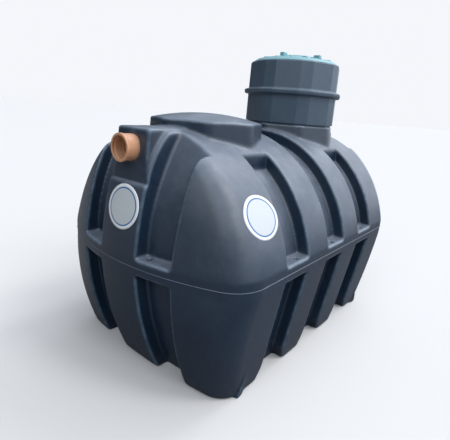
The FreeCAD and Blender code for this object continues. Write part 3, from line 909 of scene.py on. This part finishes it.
spot = node_in(tree, "ShaderNodeVectorRotate", {"rotation_type": "Z_AXIS"},
               Vector=start.outputs["Vector"], Angle=angle.outputs[0])
dots = node_in(tree, "GeometryNodePoints", Count=entry.outputs["Count"],
               Position=spot.outputs["Vector"])
placed = node_in(tree, "GeometryNodeInstanceOnPoints", Points=dots.outputs[0],
                 Instance=entry.outputs["Geometry"], Rotation=spin.outputs["Vector"])
drop = node_in(tree, "ShaderNodeCombineXYZ", Y=entry.outputs["Tilt"])
tilted = node_in(tree, "GeometryNodeRotateInstances", Instances=placed.outputs["Instances"],
                 Rotation=drop.outputs["Vector"])
lift = node_in(tree, "ShaderNodeCombineXYZ", X=TURRET_X, Z=entry.outputs["Height"])
moved = node_in(tree, "GeometryNodeTransform", Geometry=tilted.outputs["Instances"],
                Translation=lift.outputs["Vector"])
close_tree(tree, output, moved.outputs["Geometry"], entry.outputs["Material"])


def soft_bar(name, length, width, height, bevel):
    """A bar with rounded edges round the origin."""
    shape = bmesh.new()
    bmesh.ops.create_cube(shape, size=1)
    bmesh.ops.scale(shape, vec=(length, width, height), verts=shape.verts)
    bmesh.ops.bevel(shape, geom=shape.edges, offset=bevel, segments=3, profile=0.6,
                    affect="EDGES")
    return link_shape(name, shape)


ribs = grown(soft_bar("rib_bar", 0.104, 0.010, 0.008, 0.003), tree, "lid_ribs",
             Count=16, Distance=0.214, Tilt=0.153, Height=1.7635, Material=LID)
lugs = grown(soft_bar("lug_bar", 0.046, 0.030, 0.030, 0.005), tree, "lid_grips",
             Count=4, Distance=0.165, Turn=math.radians(89), Height=1.779, Material=LID)
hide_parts("lid_lugs")

# %% [markdown]
# ## Labels
#
# Two oval labels are stuck on the hull. They are plain here: a white rim, a
# thin blue line and a pale field. Each is a disc of rings whose points are
# dropped onto the curved surface by halving, so it bends with the hull. The
# distance from its middle is kept as an attribute, and the material paints
# the rings with it.

# %% Labels
def label_material():
    """Film with a white rim, a blue line and a pale field, by the ring attribute."""
    finish = Finish("label_film")
    share = finish.add("ShaderNodeAttribute", {"attribute_name": "ring"}, output="Fac")
    line = share.between(0.79, 0.80) * (1 - share.between(0.855, 0.865))
    grain = finish.noise(60.0, 3.0).between(0.3, 0.7)
    field = finish.mix(grain * 0.25, (0.56, 0.60, 0.63, 1), (0.49, 0.53, 0.56, 1))
    colour = finish.mix(share.between(0.80, 0.81), field, (0.80, 0.83, 0.85, 1))
    colour = finish.mix(line, colour, (0.05, 0.16, 0.38, 1))
    crease = finish.noise(18.0, 3.0)
    relief = finish.add("ShaderNodeBump", {}, Strength=0.2, Distance=0.001, Height=crease)
    return finish.surface(Base_Color=colour, Roughness=grain * 0.1 + 0.32, Normal=relief)


LABEL = label_material()


def drop_on_hull(points, direction):
    """Move points along a direction until they touch the hull."""
    near, far = np.zeros(len(points)), np.full(len(points), 0.30)
    for _ in range(24):
        middle = (near + far) / 2
        hit = sample(body, points + direction * middle[:, None], ORIGIN) < 0
        near, far = np.where(hit, near, middle), np.where(hit, middle, far)
    return points + direction * near[:, None]


def label(name, centre, right, up, half_width, half_height):
    """Oval film that lies on the hull round a centre in front of it."""
    right, up = Vector(right).normalized(), Vector(up).normalized()
    inward = -right.cross(up)
    rings, steps = 14, 72
    shares = [ring / rings for ring in range(1, rings + 1)]
    flat = [(0.0, 0.0, 0.0)]
    flat += [(share, math.cos(turn), math.sin(turn)) for share in shares
             for turn in np.linspace(0, 2 * math.pi, steps, endpoint=False)]
    flat = np.array(flat)
    spots = np.array(centre) + flat[:, :1] * (flat[:, 1:2] * half_width * np.array(right)
                                              + flat[:, 2:] * half_height * np.array(up))
    spots = drop_on_hull(spots, np.array(inward)) - 0.0009 * np.array(inward)
    shape = bmesh.new()
    tops = [shape.verts.new(spot) for spot in spots]
    for number in range(steps):
        after = (number + 1) % steps
        shape.faces.new((tops[0], tops[1 + number], tops[1 + after]))
        for ring in range(rings - 1):
            inner, outer = 1 + ring * steps, 1 + (ring + 1) * steps
            shape.faces.new((tops[inner + number], tops[outer + number],
                             tops[outer + after], tops[inner + after]))
    item = link_shape(name, shape, LABEL)
    attribute = item.data.attributes.new("ring", "FLOAT", "POINT")
    attribute.data.foreach_set("value", flat[:, 0].astype(np.float32))
    item.data.shade_smooth()
    film = item.modifiers.new("film", "SOLIDIFY")
    film.thickness = 0.0006
    film.offset = -1
    print(name, len(applied(item, film).vertices), "vertices")
    return item


end_label = label("end_label", (-1.15, -0.014, 0.912), (0, -1, 0), (0, 0, 1), 0.114, 0.108)
side_label = label("side_label", (-0.684, -0.717, 1.015), (1, 0, 0), (0, 0.506, 0.863),
                   0.120, 0.108)

# %% [markdown]
# ## Floor and light
#
# The tank stands on a plain pale floor. The sky is bright above the long side
# and dim behind the camera, so that the bays have a sheen while the end face
# stays dark. Three soft suns in a row draw the long highlight on the near
# corner, and a wide one fills the end. The floor is seen pale but throws less
# light back, as trodden ground would.

# %% Floor and light
ground = Finish("pale_floor")
camera_ray = ground.add("ShaderNodeLightPath", {}, output="Is Camera Ray")
passing_ray = ground.add("ShaderNodeLightPath", {}, output="Is Transmission Ray")
seen = camera_ray + passing_ray
shade = ground.mix(seen, (0.20, 0.20, 0.20, 1), (0.66, 0.66, 0.66, 1))
ground.surface(Base_Color=shade, Roughness=0.95)
shape = bmesh.new()
bmesh.ops.create_circle(shape, cap_ends=True, radius=400.0, segments=96)
floor = link_shape("floor", shape, ground.material)
floor.data.transform(Matrix.Translation((0, 0, -0.0005)))

world = bpy.data.worlds.new("sky")
scene.world = world
world.use_nodes = True


class Sky(Finish):
    """The world written with the same signs as a material."""

    def __init__(self, world):
        self.material = world
        self.tree = world.node_tree
        self.shader = self.tree.nodes["Background"]
        self.place = self.add("ShaderNodeTexCoord", {}, output="Generated")


sky = Sky(world)
bright = sky.add("ShaderNodeVectorMath", {"operation": "DOT_PRODUCT"}, sky.place,
                 (0.62, -0.58, 0.53), output="Value")
glow = bright.between(-0.1, 1.0) * 0.85 + sky.part(sky.place, 2).between(0.2, 0.9) * 0.15
light = sky.mix(glow, (0.03, 0.04, 0.05, 1), (1.60, 1.70, 1.86, 1))
seen = sky.add("ShaderNodeLightPath", {}, output="Is Camera Ray")
sky.surface(Color=sky.mix(seen, light, (0.905, 0.922, 0.962, 1)), Strength=1.0)


def soft_sun(name, towards, strength, angle, colour):
    """A wide sun that stands in the given direction from the object."""
    data = bpy.data.lights.new(name, "SUN")
    data.energy = strength
    data.angle = math.radians(angle)
    data.color = colour
    item = bpy.data.objects.new(name, data)
    item.rotation_euler = Vector(towards).to_track_quat("Z", "Y").to_euler()
    scene.collection.objects.link(item)


WARM, COOL = (1.0, 0.96, 0.91), (0.94, 0.97, 1.0)
soft_sun("key_low", (-0.04, -0.83, 0.56), 0.35, 16, WARM)
soft_sun("key_middle", (0.24, -0.58, 0.78), 0.75, 16, WARM)
soft_sun("key_high", (0.60, -0.16, 0.78), 0.5, 16, WARM)
soft_sun("fill", (-0.72, -0.28, 0.63), 1.1, 50, COOL)
scene.view_settings.view_transform = "Standard"

# %% [markdown]
# ## Tie the pieces to the frame
#
# Every piece, listed under the finish it stands for, rides on the tank's one body.

# %% Finish
SLOTS = {"tank_plastic": [lower_shell, upper_shell, rib, end_label, side_label],
         "riser_plastic": [riser], "lid_plastic": [lid, ribs, lugs],
         "pipe_plastic": [inlet, outlet]}
for slot_name, members in SLOTS.items():
    for member in members:
        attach(member, "root")
